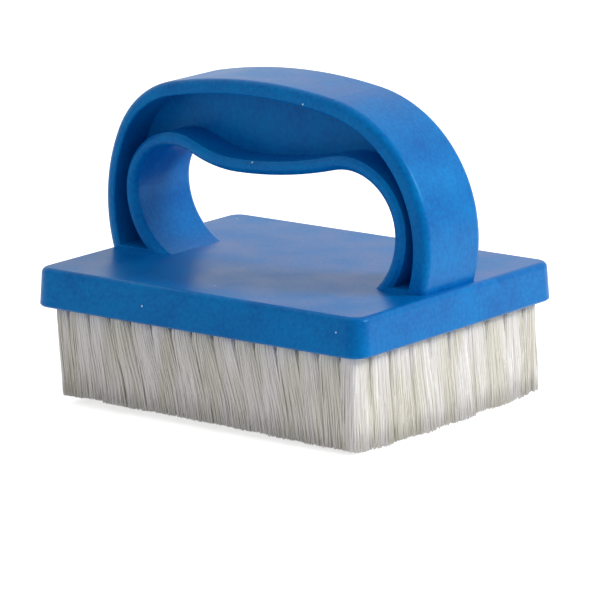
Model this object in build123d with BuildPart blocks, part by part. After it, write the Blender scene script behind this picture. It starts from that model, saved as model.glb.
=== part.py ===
from build123d import *
import math
import os
import random

# Hand grout brush: one moulding holds the block and the looped handle, and its underside is
# filled with tufts, each folded over a flat wire anchor at the bottom of its hole.
# Millimetres. X runs along the handle, Y across it and Z up, from the middle of the bristle tips.

# Block
block_length = 154.0
block_width = 123.0
block_thickness = 15.0
block_corner_radius = 6.0
block_draft = 4.1
block_top_round = 2.4
block_bottom_chamfer = 0.7
block_offset = 0.5

# Tufts, in columns along the block and rows across it
tuft_columns = 15
tufts_in_column = 10
tuft_inset = 8.5
bristle_length = 37.8
tuft_hole_depth = 10.5
slice_width = 7.2
slice_end = 3.4
leg_root_length = 3.0
leg_root_width = 1.8
leg_root_gap = 0.7
leg_tip_length = 5.6
leg_tip_width = 4.4
leg_tip_gap = 1.2
leg_seat = 1.0
tuft_lean = 6.0
tuft_stray = 0.3
tuft_twist = 8.0
uncut_overhang = 0.5
tip_shortfall = 2.0
lean_start_share = 0.3

# Wire anchors
anchor_length = 5.4
anchor_height = 2.2
anchor_thickness = 0.45

# Handle, with heights above the block's top face
handle_overhang = 0.3
handle_offset = -1.2
handle_width = 35.0
handle_height = 72.3
handle_root = 2.0
flank_height = 18.7
flank_radius = 68.0
left_shoulder_share = 0.509
right_shoulder_share = 0.7455
crown_rise = 14.7
crown_offset = -4.1
outer_edge_round = 3.0
outer_flange = 5.7
inner_flange = 5.3
recess_width = 4.7
recess_offset = -1.0
outer_rim_chamfer = 0.5
inner_rim_chamfer = 1.4
web_thickness = 4.0
recess_floor = 1.5

# Finger opening under the grip, which sags towards the left
finger_offset = -1.6
grip_height = 36.3
grip_offset = -14.5
finger_corner_height = 43.0
left_corner_radius = 18.7
right_corner_radius = 22.7
finger_foot_radius = 26.8
grip_edge_round = 2.8

# Cutting tools run this far past the faces that they cut
overrun = 1.0

# Levels and spans worked out from the sizes above
underside = bristle_length
block_top = underside + block_thickness
block_flare = block_thickness * math.tan(math.radians(block_draft))
base_length = block_length + 2 * block_flare
base_width = block_width + 2 * block_flare
base_corner_radius = block_corner_radius + block_flare
column_pitch = (base_length - 2 * tuft_inset) / (tuft_columns - 1)
tuft_pitch = (base_width - 2 * tuft_inset) / (tufts_in_column - 1)
slice_length = base_width - 2 * tuft_inset + 2 * slice_end
slice_top = underside + tuft_hole_depth
first_column = block_offset - (tuft_columns - 1) / 2 * column_pitch
first_tuft = -(tufts_in_column - 1) / 2 * tuft_pitch
column_places = [first_column + index * column_pitch for index in range(tuft_columns)]
tuft_places = [first_tuft + index * tuft_pitch for index in range(tufts_in_column)]

handle_half_length = block_length / 2 + handle_overhang
left_shoulder_radius = handle_height * left_shoulder_share
right_shoulder_radius = handle_height * right_shoulder_share
crown_radius = (block_length**2 / 4 + crown_rise**2) / (2 * crown_rise)
finger_half_length = handle_half_length - outer_flange - recess_width - inner_flange
handle_plane = Plane(origin=(0, 0, block_top), x_dir=(1, 0, 0), z_dir=(0, -1, 0))
recess_plane = Plane(origin=(recess_offset, 0, block_top), x_dir=(1, 0, 0), z_dir=(0, -1, 0))

os.makedirs("parts", exist_ok=True)


def arc_about(centre, start, end):
    """Arc of under half a circle from start to end about centre."""
    radius = (start - centre).length
    middle = (start + end) / 2 - centre
    return ThreePointArc(start, centre + middle.normalized() * radius, end)


def touching_centre(flank, flank_reach, crown, crown_reach, side):
    """Centre that lies flank_reach from one point and crown_reach from another, on the outer side."""
    line = crown - flank
    along = (flank_reach**2 - crown_reach**2 + line.length**2) / (2 * line.length)
    across = math.sqrt(flank_reach**2 - along**2)
    unit = line.normalized()
    return flank + unit * along + Vector(-unit.Y, unit.X) * (side * across)


def on_flank(centre, radius, side, height):
    """Point of a flank's circle at a height, on the given side of its centre."""
    return Vector(centre.X + side * math.sqrt(radius**2 - (height - centre.Y) ** 2), height)


def handle_outline(inset):
    """Arched outline of the handle, inset from its outer face and closed below the block's top."""
    crown = Vector(crown_offset, handle_height - crown_radius)
    flanks = {}
    shoulders = {}
    for side, shoulder_radius in ((-1, left_shoulder_radius), (1, right_shoulder_radius)):
        flank = Vector(handle_offset + side * (handle_half_length - flank_radius), flank_height)
        shoulders[side] = touching_centre(
            flank, flank_radius - shoulder_radius, crown, crown_radius - shoulder_radius, side
        )
        flanks[side] = flank
    feet = {side: on_flank(flanks[side], flank_radius - inset, side, -handle_root) for side in (-1, 1)}
    lower = {
        side: flanks[side] + (shoulders[side] - flanks[side]).normalized() * (flank_radius - inset)
        for side in (-1, 1)
    }
    upper = {
        side: crown + (shoulders[side] - crown).normalized() * (crown_radius - inset) for side in (-1, 1)
    }
    for side in (-1, 1):
        arc_about(flanks[side], feet[side], lower[side])
        arc_about(shoulders[side], lower[side], upper[side])
    arc_about(crown, upper[-1], upper[1])
    Line(feet[1], feet[-1])


def finger_outline(grow):
    """Outline of the finger opening, grown outwards by grow, under a grip that sags to its lowest point."""
    belly = Vector(grip_offset, grip_height + grow)
    tops = {}
    feet = {}
    for side, radius in ((-1, left_corner_radius), (1, right_corner_radius)):
        wall = finger_offset + side * finger_half_length
        corner = Vector(wall - side * radius, finger_corner_height - radius)
        reach = corner - belly
        drop = radius + grow + reach.Y
        belly_radius = (reach.X**2 + reach.Y**2 - (radius + grow) ** 2) / (2 * drop)
        belly_centre = belly + Vector(0, belly_radius)
        tops[side] = corner + (belly_centre - corner).normalized() * (radius + grow)
        arc_about(belly_centre, tops[side], belly)

        # Down the leg from the corner to its spreading foot
        foot_centre = Vector(wall - side * finger_foot_radius, corner.Y)
        waist = Vector(wall + side * grow, corner.Y)
        feet[side] = on_flank(foot_centre, finger_foot_radius + grow, side, -handle_root)
        arc_about(corner, tops[side], waist)
        arc_about(foot_centre, waist, feet[side])
    Line(feet[-1], feet[1])


def lean_at(x):
    """Sideways lean of a tuft's tip: most in the left half, none at the right end."""
    share = (x - column_places[0]) / (column_places[-1] - column_places[0])
    return tuft_lean * math.sin(math.pi * (lean_start_share + (1 - lean_start_share) * share))


def tuft_leg(root, tip, reach, twist):
    """One leg of a folded tuft: a four-sided bundle that widens from its hole to its flat cut end."""
    turn = math.radians(twist)
    along = Vector(math.cos(turn), math.sin(turn))
    across = Vector(-math.sin(turn), math.cos(turn))
    corner = root - along * (leg_root_length / 2) - across * (leg_root_width / 2)
    middle_x = leg_root_length / 2 + (tip - root).dot(along)
    middle_y = leg_root_width / 2 + (tip - root).dot(across)
    bundle = Wedge(
        leg_root_length,
        reach + leg_seat,
        leg_root_width,
        middle_x - leg_tip_length / 2,
        middle_y - leg_tip_width / 2,
        middle_x + leg_tip_length / 2,
        middle_y + leg_tip_width / 2,
        align=None,
    )
    seat = Plane(origin=(corner.X, corner.Y, underside + leg_seat), x_dir=along, z_dir=across)
    return seat.location * bundle


def tuft_legs(x, y, stray):
    """Two legs of the tuft at x, y, one on each side of its anchor, of which one reaches the floor."""
    lean = Vector(lean_at(x), 0) + Vector(stray.uniform(-1, 1), stray.uniform(-1, 1)) * tuft_stray
    twist = stray.uniform(-1, 1) * tuft_twist
    legs = []
    for side in stray.sample((-1, 1), 2):
        root = Vector(x, y + side * (leg_root_gap + leg_root_width) / 2)
        tip = Vector(x, y + side * (leg_tip_gap + leg_tip_width) / 2) + lean
        short = stray.uniform(0, 1) * tip_shortfall if legs else 0
        legs.append(tuft_leg(root, tip, bristle_length + uncut_overhang - short, twist))
    return legs


# Outer flange of the handle: an arched band with rounded outside edges
with BuildPart() as outer_band:
    with BuildSketch(handle_plane):
        with BuildLine():
            handle_outline(0)
        make_face()
    extrude(amount=handle_width / 2, both=True)
    fillet(outer_band.edges().filter_by(GeomType.CIRCLE), outer_edge_round)
    with BuildSketch(recess_plane):
        with BuildLine():
            handle_outline(outer_flange)
        make_face()
    extrude(amount=handle_width / 2 + overrun, both=True, mode=Mode.SUBTRACT)
    chamfer(outer_band.edges(Select.LAST).filter_by(GeomType.CIRCLE), outer_rim_chamfer)

# Grip and inner legs: a band round the finger opening, with the edges that the fingers hold rounded over
with BuildPart() as grip_band:
    with BuildSketch(handle_plane):
        with BuildLine():
            finger_outline(inner_flange)
        make_face()
    extrude(amount=handle_width / 2, both=True)
    chamfer(grip_band.edges().filter_by(GeomType.CIRCLE), inner_rim_chamfer)
    with BuildSketch(handle_plane):
        with BuildLine():
            finger_outline(0)
        make_face()
    extrude(amount=handle_width / 2 + overrun, both=True, mode=Mode.SUBTRACT)
    fillet(grip_band.edges(Select.LAST).filter_by(GeomType.CIRCLE), grip_edge_round)

# Web that joins the two bands in the middle plane, leaving a deep recess on each side
with BuildPart() as web:
    with BuildSketch(handle_plane):
        with BuildLine():
            handle_outline(outer_flange / 2)
        make_face()
        with BuildLine():
            finger_outline(inner_flange / 2)
        make_face(mode=Mode.SUBTRACT)
    extrude(amount=web_thickness / 2, both=True)

# Full-width floor of the recess in each foot
with BuildPart() as recess_floors:
    with BuildSketch(handle_plane):
        with BuildLine():
            handle_outline(outer_edge_round)
        make_face()
        with BuildLine():
            finger_outline((inner_flange - inner_rim_chamfer + grip_edge_round) / 2)
        make_face(mode=Mode.SUBTRACT)
        with Locations((handle_offset, recess_floor - handle_height / 2)):
            Rectangle(2 * handle_half_length, handle_height, mode=Mode.INTERSECT)
    extrude(amount=handle_width / 2, both=True)

# Block and handle, one polypropylene moulding
with BuildPart() as block_and_handle:
    with BuildSketch(Plane.XY.offset(underside)):
        with Locations((block_offset, 0)):
            RectangleRounded(base_length, base_width, base_corner_radius)
    extrude(amount=block_thickness, taper=block_draft)
    top_edges = block_and_handle.faces().sort_by(Axis.Z)[-1].edges()
    bottom_edges = block_and_handle.faces().sort_by(Axis.Z)[0].edges()
    fillet(top_edges, block_top_round)
    chamfer(bottom_edges, block_bottom_chamfer)
    add([outer_band.part, grip_band.part, web.part, recess_floors.part])

    # One slot for each column of tufts, as deep as their holes
    with BuildSketch(Plane.XY.offset(underside)):
        with Locations(*[(x, 0) for x in column_places]):
            Rectangle(slice_width, slice_length)
    extrude(amount=tuft_hole_depth, mode=Mode.SUBTRACT)
block_and_handle.part.label = "block_and_handle"
export_step(block_and_handle.part, "parts/block_and_handle.step")

# Tuft columns: the slice of the block that each column is driven into, with its legs cut level at the tips
stray = random.Random(4)
for number, x in enumerate(column_places, start=1):
    legs = [leg for y in tuft_places for leg in tuft_legs(x, y, stray)]
    with BuildPart() as tuft_column:
        with BuildSketch(Plane.XY.offset(underside)):
            with Locations((x, 0)):
                Rectangle(slice_width, slice_length)
        extrude(amount=tuft_hole_depth)
        with BuildSketch(Plane.XY.offset(slice_top)):
            with Locations(*[(x, y) for y in tuft_places]):
                Rectangle(anchor_length, anchor_thickness)
        extrude(amount=-anchor_height, mode=Mode.SUBTRACT)
        add(legs)
        split(bisect_by=Plane.XY)
    tuft_column.part.label = f"tuft_column_{number:02d}"
    export_step(tuft_column.part, f"parts/tuft_column_{number:02d}.step")

    # Flat wire anchors, one for each tuft, seated on edge at the bottom of its hole
    with BuildPart() as anchor_column:
        with BuildSketch(Plane.XY.offset(slice_top)):
            with Locations(*[(x, y) for y in tuft_places]):
                Rectangle(anchor_length, anchor_thickness)
        extrude(amount=-anchor_height)
    anchor_column.part.label = f"anchor_column_{number:02d}"
    export_step(anchor_column.part, f"parts/anchor_column_{number:02d}.step")
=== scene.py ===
import math

import bpy
import numpy as np
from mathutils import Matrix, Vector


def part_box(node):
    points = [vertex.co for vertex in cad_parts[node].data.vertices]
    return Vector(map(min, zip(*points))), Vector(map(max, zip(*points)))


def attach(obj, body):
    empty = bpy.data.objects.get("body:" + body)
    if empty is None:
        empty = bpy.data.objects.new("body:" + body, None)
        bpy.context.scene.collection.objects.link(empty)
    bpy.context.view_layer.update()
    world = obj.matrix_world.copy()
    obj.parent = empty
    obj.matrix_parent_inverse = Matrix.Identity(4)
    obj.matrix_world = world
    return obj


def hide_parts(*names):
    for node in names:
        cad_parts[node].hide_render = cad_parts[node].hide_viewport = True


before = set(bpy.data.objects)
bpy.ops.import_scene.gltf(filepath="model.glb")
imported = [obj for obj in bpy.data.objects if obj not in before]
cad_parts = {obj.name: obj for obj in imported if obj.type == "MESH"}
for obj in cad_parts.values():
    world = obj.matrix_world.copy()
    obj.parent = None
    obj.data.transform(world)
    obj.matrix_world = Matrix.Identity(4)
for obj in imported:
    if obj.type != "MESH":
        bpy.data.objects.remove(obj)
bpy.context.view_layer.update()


# Block and handle: one injection moulding of blue polypropylene, a flat block with a looped handle whose two
# flanges are joined by a thin web. The mould leaves a satin skin with a faint mottle and a few pale flecks.
MM = 0.001
MOTTLE_GRAIN = 1.6 * MM
MOTTLE_PATCH = 17.0 * MM
MOTTLE_RANGE = (0.7, 1.3)
PATCH_RANGE = (0.3, 0.7)
SATIN_RANGE = (0.3, 0.4)
SKIN_GRAIN = 0.55 * MM
SKIN_HEIGHT = 0.03 * MM
SKIN_STRENGTH = 0.5
SPECK_SPACING = 15.0 * MM
SPECK_RADIUS = 0.4 * MM
SPECK_COLOUR = "#c4dcec"
PP_DEEP = "#005fae"
PP_PALE = "#0079c4"
PP_GLOSS_TINT = "#6fe0ff"
PP_GLOSS_LEVEL = 0.3
PP_IOR = 1.49


def linear(hex_colour):
    """Linear RGBA of an sRGB hex colour: each channel over 12.92 when dark, else the 2.4 power curve."""
    channels = np.array([int(hex_colour[place:place + 2], 16) for place in (1, 3, 5)]) / 255
    curve = ((channels + 0.055) / 1.055) ** 2.4
    return (*np.where(channels <= 0.04045, channels / 12.92, curve).tolist(), 1.0)


def add_node(tree, kind, inputs=None, **settings):
    """Adds a node with its settings. Each entry of inputs is a value for that socket, or a socket to link to
    it."""
    node = tree.nodes.new(kind)
    for name, value in settings.items():
        setattr(node, name, value)
    for socket, value in (inputs or {}).items():
        if isinstance(value, bpy.types.NodeSocket):
            tree.links.new(value, node.inputs[socket])
        else:
            node.inputs[socket].default_value = value
    return node


def moulded_polypropylene():
    """Blue polypropylene as moulded: satin, with a faint mottle in its colour, pale flecks where bits of flash
    were rubbed in, and a fine skin that breaks the highlights, so flat faces look soft rather than glassy. The
    skin is drawn coarser than the real one, so that it shows."""
    material = bpy.data.materials.new("moulded_blue_polypropylene")
    material.use_nodes = True
    tree = material.node_tree
    tree.nodes.clear()
    place = add_node(tree, "ShaderNodeTexCoord").outputs["Object"]
    grain = add_node(tree, "ShaderNodeTexNoise", {"Vector": place, "Scale": 1 / MOTTLE_GRAIN, "Detail": 3.0})
    patch = add_node(tree, "ShaderNodeTexNoise", {"Vector": place, "Scale": 1 / MOTTLE_PATCH, "Detail": 2.0})
    mottle = add_node(
        tree, "ShaderNodeMath", {0: grain.outputs["Fac"], 1: patch.outputs["Fac"]}, operation="ADD"
    )
    share = add_node(
        tree,
        "ShaderNodeMapRange",
        {"Value": mottle.outputs[0], "From Min": MOTTLE_RANGE[0], "From Max": MOTTLE_RANGE[1]},
    )
    colour = add_node(
        tree,
        "ShaderNodeMix",
        {"Factor": share.outputs["Result"], "A": linear(PP_DEEP), "B": linear(PP_PALE)},
        data_type="RGBA",
    )
    cell = add_node(tree, "ShaderNodeTexVoronoi", {"Vector": place, "Scale": 1 / SPECK_SPACING})
    speck = add_node(
        tree,
        "ShaderNodeMath",
        {0: cell.outputs["Distance"], 1: SPECK_RADIUS / SPECK_SPACING},
        operation="LESS_THAN",
    )
    flecked = add_node(
        tree,
        "ShaderNodeMix",
        {"Factor": speck.outputs[0], "A": colour.outputs[2], "B": linear(SPECK_COLOUR)},
        data_type="RGBA",
    )
    roughness = add_node(
        tree,
        "ShaderNodeMapRange",
        {
            "Value": patch.outputs["Fac"],
            "From Min": PATCH_RANGE[0],
            "From Max": PATCH_RANGE[1],
            "To Min": SATIN_RANGE[0],
            "To Max": SATIN_RANGE[1],
        },
    )
    skin = add_node(tree, "ShaderNodeTexNoise", {"Vector": place, "Scale": 1 / SKIN_GRAIN, "Detail": 2.0})
    bump = add_node(
        tree,
        "ShaderNodeBump",
        {"Height": skin.outputs["Fac"], "Strength": SKIN_STRENGTH, "Distance": SKIN_HEIGHT},
    )
    shader = add_node(
        tree,
        "ShaderNodeBsdfPrincipled",
        {
            "Base Color": flecked.outputs[2],
            "Roughness": roughness.outputs["Result"],
            "IOR": PP_IOR,
            "Specular IOR Level": PP_GLOSS_LEVEL,
            "Specular Tint": linear(PP_GLOSS_TINT),
            "Normal": bump.outputs["Normal"],
        },
    )
    add_node(tree, "ShaderNodeOutputMaterial", {"Surface": shader.outputs["BSDF"]})
    return material


def dress(node_name, material):
    """Gives every slot of a CAD node's mesh the material."""
    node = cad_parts[node_name]
    if not node.material_slots:
        node.data.materials.append(material)
    for slot in node.material_slots:
        slot.material = material


polypropylene = moulded_polypropylene()
dress("block_and_handle", polypropylene)


# Tufts: stiff nylon monofilament. Each bundle is folded in two over a flat wire anchor and driven into its
# hole, splays below the block until it meets its neighbours, and is trimmed level with all the others. The
# filaments are drawn coarser than the real ones, so that they show, round one closed core for each tuft.
TUFTS_IN_COLUMN = 10
INNER_FILAMENTS = 150
OUTER_FILAMENTS = 400
FILAMENT_RADIUS = 0.24 * MM
FILAMENT_SIDES = 3
CORE_SIDES = 16
CORE_SHARE = 0.92
CORE_SHORTFALL = 2.2 * MM
HOLE_RADIUS = 3.0 * MM
HOLE_REACH = 3.0 * MM
CELL_FILL_SHARE = 1.08
CELL_SQUARENESS = 0.75
LEFT_SPLAY_SHARE = 0.08
LEFT_ROOT_SHARE = 0.2
RIGHT_SPLAY_SHARE = 0.58
FRONT_SPLAY_SHARE = 0.6
BACK_SPLAY_SHARE = 0.25
SPLAY_POWER = 0.13
INNER_REACH_POWER = 0.5
EDGE_REACH_POWER = 0.32
WANDER = 0.45 * MM
WANDER_HALF_TURNS = 1.3
TIP_STRAY = 0.35 * MM
TUFT_STRAY = 0.4 * MM
LEFT_LEAN = 3.4 * MM
MIDDLE_LEAN = 7.5 * MM
SIDE_LEAN = 4.5 * MM
SIDE_LEAN_LEFT_SHARE = 0.3
LEAN_SKEW = 1.1
LEAN_FLATNESS = 2.6
STRAIGHT_LEAN_SHARE = 0.4
FRONT_LEFT_RISE = 4.5 * MM
FRONT_RIGHT_RISE = 2.0 * MM
BACK_RISE = 3.2 * MM
EDGE_RISE_REACH = 9.0 * MM
RAGGED_TRIM = 1.2 * MM
TUFT_TRIM_SHARE = 0.6
LEVEL_SHARES = np.array([-1.0, 0.0, 0.03, 0.12, 0.4, 0.7, 1.0])
# Nylon colours. The shade and rose colours are the painted shade and painted light of the bands that stand in
# for the tufts' shading.
NYLON_PALE = "#fcfcfa"
NYLON_PAINTED_SHADE = "#ebe7da"
NYLON_ROSE_PAINTED_LIGHT = "#fcf8f6"
NYLON_PALE_SHARE = 0.4
NYLON_CLEAR_SHARE = 0.85
NYLON_ROUGHNESS = 0.5
NYLON_IOR = 1.53
BAND_WIDTH = 7.0 * MM
BAND_STRETCH = 0.12
BAND_RANGE = (0.36, 0.62)
STRAY_SEED = 7

column_names = sorted(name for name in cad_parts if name.startswith("tuft_column"))
anchor_names = sorted(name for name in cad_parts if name.startswith("anchor_column"))
anchor_boxes = [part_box(name) for name in anchor_names]
column_x = np.array([(low.x + high.x) / 2 for low, high in anchor_boxes])
row_span = anchor_boxes[0][1].y - anchor_boxes[0][0].y
tuft_y = np.linspace(-row_span / 2, row_span / 2, TUFTS_IN_COLUMN)
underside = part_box("block_and_handle")[0].z
column_pitch = column_x[1] - column_x[0]
tuft_pitch = tuft_y[1] - tuft_y[0]


def lean_along(x):
    """Lean of the tips to the right: a steady part that fades out towards the right, plus a hump that is flat
    over the middle of the brush and falls to nothing at both ends."""
    share = (x - column_x[0]) / (column_x[-1] - column_x[0])
    hump = 1 - np.abs(2 * share**LEAN_SKEW - 1) ** LEAN_FLATNESS
    return LEFT_LEAN * (1 - share) + MIDDLE_LEAN * hump


def lean_across(x, y):
    """Lean of the tips to the back: none at the front and back edges, most between them and on the right."""
    right_share = (x - column_x[0]) / (column_x[-1] - column_x[0])
    back_share = (y - tuft_y[0]) / (tuft_y[-1] - tuft_y[0])
    hump = 1 - np.abs(2 * back_share - 1) ** LEAN_FLATNESS
    return SIDE_LEAN * (SIDE_LEAN_LEFT_SHARE + (1 - SIDE_LEAN_LEFT_SHARE) * right_share) * hump


def trim_height(x, y):
    """Height of the cut ends: level on the floor inside, rising at the front and back edges by exponentials."""
    right_share = np.clip((x - column_x[0]) / (column_x[-1] - column_x[0]), 0, 1)
    front = FRONT_LEFT_RISE + (FRONT_RIGHT_RISE - FRONT_LEFT_RISE) * right_share
    from_front = np.maximum(y - tuft_y[0] + tuft_pitch / 2, 0)
    from_back = np.maximum(tuft_y[-1] + tuft_pitch / 2 - y, 0)
    return front * np.exp(-from_front / EDGE_RISE_REACH) + BACK_RISE * np.exp(-from_back / EDGE_RISE_REACH)


def is_end_column(x):
    """True for a tuft of the first or the last column."""
    return abs(x - column_x.mean()) > column_x[-1] - column_x.mean() - column_pitch / 2


def is_end_row(y):
    """True for a tuft at the front or the back edge."""
    return abs(y) > tuft_y[-1] - tuft_pitch / 2


def tuft_lines(x, y, disc, splay_stray, lean, shortfall):
    """Lines that start at the places disc of one tuft's hole, as an array (lines, levels, xyz). Each runs from
    its root to its tip by its splay and its lean, both smooth functions of the depth share t from 0 at the
    underside to 1 at the tip. The splay stretches the round hole to the tuft's rounded oblong cell, and is held
    back on the open sides of the tufts along the edges. The first level is up in the hole."""
    half_cell = np.array([column_pitch, tuft_pitch]) / 2 * CELL_FILL_SHARE
    unit = disc / np.linalg.norm(disc, axis=1, keepdims=True)
    splay = disc * np.abs(unit).max(axis=1, keepdims=True) ** -CELL_SQUARENESS * half_cell + splay_stray
    at_left, at_right = is_end_column(x) and x < column_x.mean(), is_end_column(x) and x > column_x.mean()
    at_front, at_back = is_end_row(y) and y < 0, is_end_row(y) and y > 0
    below = np.where([at_left, at_front], [LEFT_SPLAY_SHARE, FRONT_SPLAY_SHARE], 1)
    above = np.where([at_right, at_back], [RIGHT_SPLAY_SHARE, BACK_SPLAY_SHARE], 1)
    splay = np.where(splay < 0, splay * below, splay * above)
    tip_z = trim_height(*((x, y) + lean + splay).T) + shortfall

    t = np.clip(LEVEL_SHARES, 0, 1)[:, None]
    lean_share = STRAIGHT_LEAN_SHARE * t + (1 - STRAIGHT_LEAN_SHARE) * t**2 * (3 - 2 * t)
    splay_share = t**SPLAY_POWER
    root = disc * (HOLE_RADIUS - FILAMENT_RADIUS)
    root[:, 0] = np.where(at_left & (root[:, 0] < 0), root[:, 0] * LEFT_ROOT_SHARE, root[:, 0])
    across = (x, y) + root[:, None] * (1 - splay_share) + splay[:, None] * splay_share + lean * lean_share
    height = underside + (tip_z[:, None] - underside) * t[:, 0] - HOLE_REACH * np.minimum(LEVEL_SHARES, 0)
    return np.concatenate([across, height[..., None]], axis=-1)


def tuft_rings(x, y, stray):
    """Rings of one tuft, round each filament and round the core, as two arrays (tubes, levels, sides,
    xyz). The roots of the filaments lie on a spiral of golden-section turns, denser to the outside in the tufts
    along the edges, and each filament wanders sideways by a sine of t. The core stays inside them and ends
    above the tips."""
    on_edge = is_end_column(x) or is_end_row(y)
    count = OUTER_FILAMENTS if on_edge else INNER_FILAMENTS
    turn = math.pi * (3 - math.sqrt(5)) * np.arange(count)
    reach = ((np.arange(count) + 0.5) / count) ** (EDGE_REACH_POWER if on_edge else INNER_REACH_POWER)
    disc = np.stack([np.cos(turn), np.sin(turn)], axis=-1) * reach[:, None]
    lean = np.array([lean_along(x), lean_across(x, y)]) + stray.normal(0, 1, 2) * TUFT_STRAY
    ragged = RAGGED_TRIM * (stray.random(count) ** 2 + TUFT_TRIM_SHARE * stray.random())
    lines = tuft_lines(x, y, disc, stray.normal(0, 1, disc.shape) * TIP_STRAY, lean, ragged)
    t = np.clip(LEVEL_SHARES, 0, 1)[:, None]
    phase = stray.random((count, 1, 2)) * math.tau
    lines[..., :2] += (np.sin(WANDER_HALF_TURNS * math.pi * t + phase) - np.sin(phase)) * WANDER * t
    corner = math.tau * np.arange(FILAMENT_SIDES) / FILAMENT_SIDES
    ring = np.stack([np.cos(corner), np.sin(corner), 0 * corner], axis=-1) * FILAMENT_RADIUS
    filaments = lines[:, :, None] + ring

    corner = math.tau * np.arange(CORE_SIDES) / CORE_SIDES
    edge = np.stack([np.cos(corner), np.sin(corner)], axis=-1) * CORE_SHARE
    core = tuft_lines(x, y, edge, 0.0, lean, CORE_SHORTFALL).transpose(1, 0, 2)[None]
    return filaments, core


def tube_mesh(name, *families):
    """Mesh of closed tubes from arrays of rings: each ring joins the next by a band of quads, and a face caps
    each end."""
    faces = []
    smooth = []
    start = 0
    for rings in families:
        tubes, levels, sides, _ = rings.shape
        index = start + np.arange(tubes * levels * sides).reshape(tubes, levels, sides)
        above, below = index[:, :-1], index[:, 1:]
        bands = np.stack([below, np.roll(below, -1, 2), np.roll(above, -1, 2), above], axis=-1).reshape(-1, 4)
        caps = np.concatenate([index[:, 0], index[:, -1, ::-1]])
        faces += bands.tolist() + caps.tolist()
        smooth += [True] * len(bands) + [False] * len(caps)
        start += tubes * levels * sides
    mesh = bpy.data.meshes.new(name)
    points = np.concatenate([rings.reshape(-1, 3) for rings in families])
    mesh.from_pydata(points.tolist(), [], faces)
    mesh.polygons.foreach_set("use_smooth", smooth)
    mesh.update()
    return mesh


def nylon_filament():
    """Semi-clear white nylon as drawn: smooth, with soft bands of painted shade and painted light, olive-grey
    and rose-white, in place of the shading of the tufts' rounded forms, though the bands fall at random. Some
    filaments are whiter than others. It passes part of the lamp light on to the filaments behind it, so the
    tufts look milky and have no black gaps."""
    material = bpy.data.materials.new("drawn_white_nylon")
    material.use_nodes = True
    tree = material.node_tree
    tree.nodes.clear()
    place = add_node(tree, "ShaderNodeTexCoord").outputs["Object"]
    # Painted shade and painted light: tall noise bands mix the olive-grey painted shade and the rose-white
    # painted light, in place of the shading of the tufts' round forms.
    bands = add_node(
        tree,
        "ShaderNodeMapping",
        {"Vector": place, "Scale": (1 / BAND_WIDTH, 1 / BAND_WIDTH, BAND_STRETCH / BAND_WIDTH)},
    )
    band = add_node(tree, "ShaderNodeTexNoise", {"Vector": bands.outputs[0], "Scale": 1.0, "Detail": 1.0})
    tone = add_node(tree, "ShaderNodeAttribute", attribute_name="filament_tone")
    band_share = add_node(
        tree,
        "ShaderNodeMapRange",
        {"Value": band.outputs["Fac"], "From Min": BAND_RANGE[0], "From Max": BAND_RANGE[1]},
    )
    painted_shade_bands = add_node(
        tree,
        "ShaderNodeMix",
        {"Factor": band_share.outputs["Result"], "A": linear(NYLON_PAINTED_SHADE), "B": linear(NYLON_ROSE_PAINTED_LIGHT)},
        data_type="RGBA",
    )
    pale_share = add_node(
        tree, "ShaderNodeMath", {0: tone.outputs["Fac"], 1: NYLON_PALE_SHARE}, operation="MULTIPLY"
    )
    colour = add_node(
        tree,
        "ShaderNodeMix",
        {"Factor": pale_share.outputs[0], "A": painted_shade_bands.outputs[2], "B": linear(NYLON_PALE)},
        data_type="RGBA",
    )
    shader = add_node(
        tree,
        "ShaderNodeBsdfPrincipled",
        {"Base Color": colour.outputs[2], "Roughness": NYLON_ROUGHNESS, "IOR": NYLON_IOR},
    )
    path = add_node(tree, "ShaderNodeLightPath")
    passed = add_node(
        tree,
        "ShaderNodeMath",
        {0: path.outputs["Is Shadow Ray"], 1: NYLON_CLEAR_SHARE},
        operation="MULTIPLY",
    )
    clear = add_node(tree, "ShaderNodeBsdfTransparent", {"Color": (1, 1, 1, 1)})
    both = add_node(
        tree,
        "ShaderNodeMixShader",
        {0: passed.outputs[0], 1: shader.outputs["BSDF"], 2: clear.outputs[0]},
    )
    add_node(tree, "ShaderNodeOutputMaterial", {"Surface": both.outputs[0]})
    return material


nylon = nylon_filament()
stray = np.random.default_rng(STRAY_SEED)
for number, column_name in enumerate(column_names):
    tufts = [tuft_rings(column_x[number], y, stray) for y in tuft_y]
    filament_rings = np.concatenate([tuft[0] for tuft in tufts])
    core_rings = np.concatenate([tuft[1] for tuft in tufts])
    mesh = tube_mesh(f"filaments_{number + 1:02d}", filament_rings, core_rings)
    tone = np.concatenate([
        np.repeat(stray.random(len(rings)), rings.shape[1] * rings.shape[2])
        for rings in (filament_rings, core_rings)
    ])
    mesh.attributes.new("filament_tone", "FLOAT", "POINT").data.foreach_set("value", tone)
    mesh.materials.append(nylon)
    filaments = bpy.data.objects.new(f"filaments_{number + 1:02d}", mesh)
    bpy.context.collection.objects.link(filaments)
    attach(filaments, "root")
    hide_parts(column_name)


# Tuft holes: the underside of the same blue moulding, with a round hole for each tuft. The mould pins leave
# each hole a small lead-in, and the strips here close the slots between the tufts and the block.
HOLE_DEPTH = 6.0 * MM
LEAD_IN = 0.5 * MM
HOLE_POINTS = 24
STRIP_HALF_WIDTH = 3.6 * MM
STRIP_END = 3.4 * MM


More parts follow.
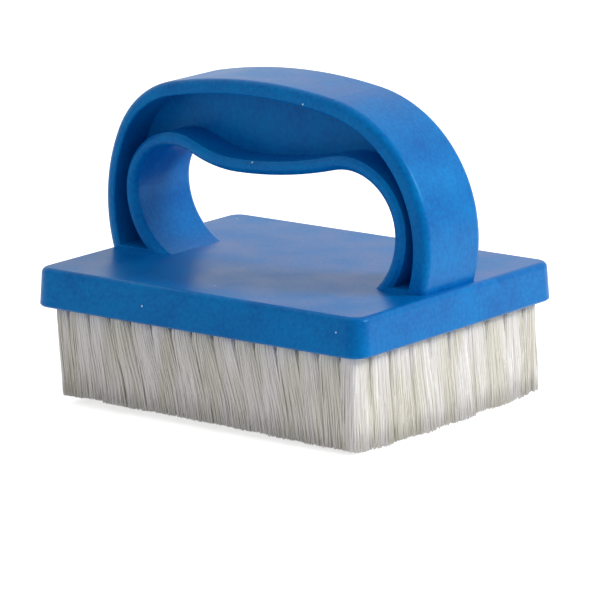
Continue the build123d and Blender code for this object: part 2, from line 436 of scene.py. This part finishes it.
def hole_strips_mesh(name):
    """Strips of the underside with a blind round hole for each tuft. Each hole has a square cell, whose reach
    at an angle is the lesser of its half width over the cosine and its room along the strip over the sine.
    Rings on the same angles run from the cell's edge to the rim, the lead-in, the wall and the hole's floor."""
    angle = math.tau * (np.arange(HOLE_POINTS) + 0.5) / HOLE_POINTS
    unit = np.stack([np.cos(angle), np.sin(angle)], axis=-1)
    between = (tuft_y[1:] + tuft_y[:-1]) / 2
    strip_end = row_span / 2 + STRIP_END
    room_back = np.append(between, strip_end) - tuft_y
    room_front = tuft_y - np.append(-strip_end, between)
    room = np.where(unit[:, 1] > 0, room_back[:, None], room_front[:, None])
    cell = np.minimum(STRIP_HALF_WIDTH / np.abs(unit[:, 0]), room / np.abs(unit[:, 1]))
    rim = np.full_like(cell, HOLE_RADIUS)
    reach = np.stack([cell, rim + LEAD_IN, rim, rim], axis=1)
    height = underside + np.array([0, 0, LEAD_IN, HOLE_DEPTH])

    points = np.empty((len(column_x), *reach.shape, 3))
    points[..., 0] = column_x[:, None, None, None] + reach * unit[:, 0]
    points[..., 1] = tuft_y[:, None, None] + reach * unit[:, 1]
    points[..., 2] = height[:, None]
    index = np.arange(points[..., 0].size).reshape(-1, len(height), HOLE_POINTS)
    outer, inner = index[:, :-1], index[:, 1:]
    quads = np.stack([outer, inner, np.roll(inner, -1, 2), np.roll(outer, -1, 2)], axis=-1)
    floors = index[:, -1, ::-1]
    mesh = bpy.data.meshes.new(name)
    mesh.from_pydata(points.reshape(-1, 3).tolist(), [], quads.reshape(-1, 4).tolist() + floors.tolist())
    return mesh


hole_mesh = hole_strips_mesh("tuft_holes")
hole_mesh.materials.append(polypropylene)
hole_strips = bpy.data.objects.new("tuft_holes", hole_mesh)
bpy.context.collection.objects.link(hole_strips)
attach(hole_strips, "root")


# Wire anchors: short flat lengths of drawn steel wire across the fold of each tuft, driven in on edge.
DRAW_LINE = 0.08 * MM
DRAW_STRETCH = 0.02
WIRE_SATIN = (0.25, 0.5)
WIRE_GREY = "#a8a59f"


def drawn_wire():
    """Flat drawn steel wire: bright grey with fine lines along its length from the drawing die."""
    material = bpy.data.materials.new("drawn_steel_wire")
    material.use_nodes = True
    tree = material.node_tree
    tree.nodes.clear()
    place = add_node(tree, "ShaderNodeTexCoord").outputs["Object"]
    along = add_node(
        tree,
        "ShaderNodeMapping",
        {"Vector": place, "Scale": (DRAW_STRETCH / DRAW_LINE, 1 / DRAW_LINE, 1 / DRAW_LINE)},
    )
    lines = add_node(tree, "ShaderNodeTexNoise", {"Vector": along.outputs[0], "Scale": 1.0, "Detail": 2.0})
    roughness = add_node(
        tree,
        "ShaderNodeMapRange",
        {"Value": lines.outputs["Fac"], "To Min": WIRE_SATIN[0], "To Max": WIRE_SATIN[1]},
    )
    shader = add_node(
        tree,
        "ShaderNodeBsdfPrincipled",
        {"Base Color": linear(WIRE_GREY), "Metallic": 1.0, "Roughness": roughness.outputs["Result"]},
    )
    add_node(tree, "ShaderNodeOutputMaterial", {"Surface": shader.outputs["BSDF"]})
    return material


wire = drawn_wire()
for anchor_name in anchor_names:
    dress(anchor_name, wire)


# Floor: a plain white sweep that the brush stands on. It shows white to the camera and in the gloss of the
# plastic, and keeps a faint shadow.
FLOOR_SPAN = 8.0
FLOOR_WHITE = "#f4f4f4"
CAMERA_LIFT = 0.7


def white_floor():
    """Matt white paper sweep, lifted to white where the camera or a reflection sees it."""
    material = bpy.data.materials.new("matt_white_sweep")
    material.use_nodes = True
    tree = material.node_tree
    tree.nodes.clear()
    path = add_node(tree, "ShaderNodeLightPath")
    seen = add_node(
        tree,
        "ShaderNodeMath",
        {0: path.outputs["Is Camera Ray"], 1: path.outputs["Is Glossy Ray"]},
        operation="MAXIMUM",
    )
    lift = add_node(tree, "ShaderNodeMath", {0: seen.outputs[0], 1: CAMERA_LIFT}, operation="MULTIPLY")
    matt = add_node(tree, "ShaderNodeBsdfDiffuse", {"Color": linear(FLOOR_WHITE)})
    glow = add_node(tree, "ShaderNodeEmission", {"Color": (1, 1, 1, 1), "Strength": lift.outputs[0]})
    both = add_node(tree, "ShaderNodeAddShader", {0: matt.outputs[0], 1: glow.outputs[0]})
    add_node(tree, "ShaderNodeOutputMaterial", {"Surface": both.outputs[0]})
    return material


half = FLOOR_SPAN / 2
floor_corners = [(-half, -half, 0), (half, -half, 0), (half, half, 0), (-half, half, 0)]
floor_mesh = bpy.data.meshes.new("floor")
floor_mesh.from_pydata(floor_corners, [], [(0, 1, 2, 3)])
floor_mesh.materials.append(white_floor())
floor = bpy.data.objects.new("floor", floor_mesh)
bpy.context.collection.objects.link(floor)


# Light: a soft key from the back right, as in the photograph, which leaves the long front side in shade, and
# an even pale surround.
KEY_TOWARDS = (0.76, 0.40, 0.57)
KEY_DISTANCE = 1.5
KEY_SIZE = 0.5
KEY_LEVEL = 0.56
SURROUND_LEVEL = 0.55

world = bpy.data.worlds.new("pale_surround")
bpy.context.scene.world = world
world.use_nodes = True
tree = world.node_tree
tree.nodes.clear()
path = add_node(tree, "ShaderNodeLightPath")
camera_or_gloss = add_node(
    tree,
    "ShaderNodeMath",
    {0: path.outputs["Is Camera Ray"], 1: path.outputs["Is Glossy Ray"]},
    operation="MAXIMUM",
)
seen = add_node(
    tree,
    "ShaderNodeMath",
    {0: camera_or_gloss.outputs[0], 1: path.outputs["Is Transmission Ray"]},
    operation="MAXIMUM",
)
level = add_node(
    tree, "ShaderNodeMapRange", {"Value": seen.outputs[0], "To Min": SURROUND_LEVEL, "To Max": 1.0}
)
surround = add_node(
    tree, "ShaderNodeBackground", {"Color": (1, 1, 1, 1), "Strength": level.outputs["Result"]}
)
add_node(tree, "ShaderNodeOutputWorld", {"Surface": surround.outputs[0]})

key_lamp = bpy.data.lights.new("key", "AREA")
key_lamp.shape = "DISK"
key_lamp.size = KEY_SIZE
key_lamp.energy = KEY_LEVEL * math.pi**2 * KEY_DISTANCE**2
key = bpy.data.objects.new("key", key_lamp)
bpy.context.collection.objects.link(key)
towards = np.array(KEY_TOWARDS) / np.linalg.norm(KEY_TOWARDS)
key.location = towards * KEY_DISTANCE


def aim(thing, direction, up):
    """Turns a lamp or camera so that its back points along direction, with up nearest to its own up."""
    back = np.array(direction) / np.linalg.norm(direction)
    right = np.cross(up, back)
    right = right / np.linalg.norm(right)
    matrix = np.eye(4)
    matrix[:3, 0], matrix[:3, 1], matrix[:3, 2] = right, np.cross(back, right), back
    matrix[:3, 3] = thing.location
    thing.matrix_world = matrix.T.tolist()


aim(key, towards, (0, 0, 1))


# Camera: the photograph's view, from the front right and a little above, through a long lens.
VIEW_AZIMUTH = math.radians(37.79)
VIEW_ELEVATION = math.radians(12.96)
VIEW_ROLL = math.radians(-0.59)
VIEW_DISTANCE = 1904 * MM
VIEW_RIGHT = 2.0 * MM
VIEW_UP = -14.06 * MM
VIEW_CENTRE = (0.2 * MM, 0.6 * MM)
BLOCK_THICKNESS = 15.0 * MM
LENS = 300
SENSOR_WIDTH = 36
NEAREST = 0.05
FARTHEST = 30

back = np.array([
    math.sin(VIEW_AZIMUTH) * math.cos(VIEW_ELEVATION),
    -math.cos(VIEW_AZIMUTH) * math.cos(VIEW_ELEVATION),
    math.sin(VIEW_ELEVATION),
])
level_right = np.array([math.cos(VIEW_AZIMUTH), math.sin(VIEW_AZIMUTH), 0])
level_up = np.cross(back, level_right)
right = level_right * math.cos(VIEW_ROLL) + level_up * math.sin(VIEW_ROLL)
up = level_up * math.cos(VIEW_ROLL) - level_right * math.sin(VIEW_ROLL)
eye = back * VIEW_DISTANCE + right * VIEW_RIGHT + up * VIEW_UP + (*VIEW_CENTRE, underside + BLOCK_THICKNESS)

camera_data = bpy.data.cameras.new("camera")
camera_data.lens = LENS
camera_data.sensor_width = SENSOR_WIDTH
camera_data.clip_start = NEAREST
camera_data.clip_end = FARTHEST
camera = bpy.data.objects.new("camera", camera_data)
bpy.context.collection.objects.link(camera)
camera.location = eye
aim(camera, back, up)
bpy.context.scene.camera = camera
bpy.context.scene.view_settings.view_transform = "Standard"
